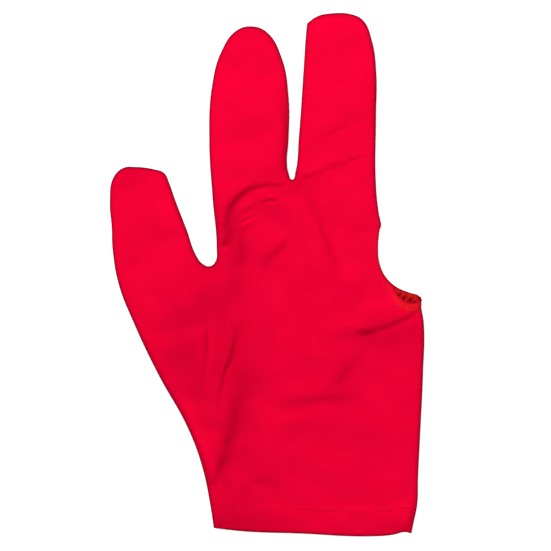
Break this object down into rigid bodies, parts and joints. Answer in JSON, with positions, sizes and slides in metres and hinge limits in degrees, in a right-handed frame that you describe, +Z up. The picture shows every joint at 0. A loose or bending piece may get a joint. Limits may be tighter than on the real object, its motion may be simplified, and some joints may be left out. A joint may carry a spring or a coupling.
{
  "type": "three-finger billiard glove",
  "caption": "Thin stretch-fabric glove for the cue-bridge hand, with thumb, index and middle finger sleeves, an open edge for the other fingers and a plain hemmed wrist.",
  "frame": {"origin": "centre of the glove's length and width, on the surface it lies on", "axes": "+Y toward the fingertips, +X away from the thumb, +Z up, out of the palm side, which faces up"},
  "size_m": [0.1323, 0.22, 0.007],
  "materials": {
    "palm_fabric": "fine ribbed stretch knit, soft sheen",
    "back_fabric": "fine ribbed stretch knit, soft sheen",
    "seam_thread": "matching sewing thread",
    "edge_thread": "orange-red overlock thread"
  },
  "bodies": {
    "hand": {"back_hand": "back_fabric", "opening_overlock": "edge_thread", "palm_hand": "palm_fabric", "seam_hand_crotch": "seam_thread", "seam_hand_little_side": "seam_thread", "seam_hand_outer": "seam_thread", "seam_hand_thumb_side": "seam_thread", "seam_hand_web": "seam_thread", "tack_lower": "edge_thread", "tack_upper": "edge_thread"},
    "cuff": {"back_cuff": "back_fabric", "back_hem_turn_in": "back_fabric", "hem_stitch": "seam_thread", "palm_cuff": "palm_fabric", "palm_hem_turn_in": "palm_fabric", "seam_cuff_little_side": "seam_thread", "seam_cuff_thumb_side": "seam_thread"},
    "thumb_base": {"back_thumb_base": "back_fabric", "palm_thumb_base": "palm_fabric", "seam_thumb_base_inner": "seam_thread", "seam_thumb_base_outer": "seam_thread"},
    "thumb_mid": {"back_thumb_mid": "back_fabric", "palm_thumb_mid": "palm_fabric", "seam_thumb_mid_inner": "seam_thread", "seam_thumb_mid_outer": "seam_thread"},
    "thumb_tip": {"back_thumb_tip": "back_fabric", "palm_thumb_tip": "palm_fabric", "seam_thumb_tip_round": "seam_thread"},
    "index_base": {"back_index_base": "back_fabric", "palm_index_base": "palm_fabric", "seam_index_base_inner": "seam_thread", "seam_index_base_outer": "seam_thread"},
    "index_mid": {"back_index_mid": "back_fabric", "palm_index_mid": "palm_fabric", "seam_index_mid_inner": "seam_thread", "seam_index_mid_outer": "seam_thread"},
    "index_tip": {"back_index_tip": "back_fabric", "palm_index_tip": "palm_fabric", "seam_index_tip_round": "seam_thread"},
    "middle_base": {"back_middle_base": "back_fabric", "palm_middle_base": "palm_fabric", "seam_middle_base_inner": "seam_thread", "seam_middle_base_outer": "seam_thread"},
    "middle_mid": {"back_middle_mid": "back_fabric", "palm_middle_mid": "palm_fabric", "seam_middle_mid_inner": "seam_thread", "seam_middle_mid_outer": "seam_thread"},
    "middle_tip": {"back_middle_tip": "back_fabric", "palm_middle_tip": "palm_fabric", "seam_middle_tip_round": "seam_thread"}
  },
  "joints": [
    {"name": "wrist_fold", "type": "hinge", "parent": "hand", "child": "cuff", "pos_m": [0.0175, -0.0708, 0.0072], "axis": [-0.9998, 0.0209, 0], "range_deg": [0, 70]},
    {"name": "thumb_root_fold", "type": "hinge", "parent": "hand", "child": "thumb_base", "pos_m": [-0.0319, -0.02645, 0.0072], "axis": [0.2784, 0.9605, 0], "range_deg": [0, 40]},
    {"name": "thumb_knuckle_fold", "type": "hinge", "parent": "thumb_base", "child": "thumb_mid", "pos_m": [-0.04835, 0.0095, 0.0072], "axis": [0.975, 0.2222, 0], "range_deg": [0, 55]},
    {"name": "thumb_end_fold", "type": "hinge", "parent": "thumb_mid", "child": "thumb_tip", "pos_m": [-0.0517, 0.0251, 0.0072], "axis": [0.9786, 0.2057, 0], "range_deg": [0, 80]},
    {"name": "index_root_fold", "type": "hinge", "parent": "hand", "child": "index_base", "pos_m": [-0.00967, 0.0415, 0.0072], "axis": [0.9999, 0.0148, 0], "range_deg": [0, 85]},
    {"name": "index_middle_fold", "type": "hinge", "parent": "index_base", "child": "index_mid", "pos_m": [-0.00915, 0.0644, 0.0072], "axis": [1, 0.0048, 0], "range_deg": [0, 100]},
    {"name": "index_end_fold", "type": "hinge", "parent": "index_mid", "child": "index_tip", "pos_m": [-0.00915, 0.0845, 0.0072], "axis": [1, 0, 0], "range_deg": [0, 60]},
    {"name": "middle_root_fold", "type": "hinge", "parent": "hand", "child": "middle_base", "pos_m": [0.03132, 0.0432, 0.0072], "axis": [0.9977, 0.0676, 0], "range_deg": [0, 85]},
    {"name": "middle_middle_fold", "type": "hinge", "parent": "middle_base", "child": "middle_mid", "pos_m": [0.03185, 0.0682, 0.0072], "axis": [0.9979, 0.0644, 0], "range_deg": [0, 100]},
    {"name": "middle_end_fold", "type": "hinge", "parent": "middle_mid", "child": "middle_tip", "pos_m": [0.03185, 0.0901, 0.0072], "axis": [0.999, 0.0446, 0], "range_deg": [0, 60]}
  ]
}
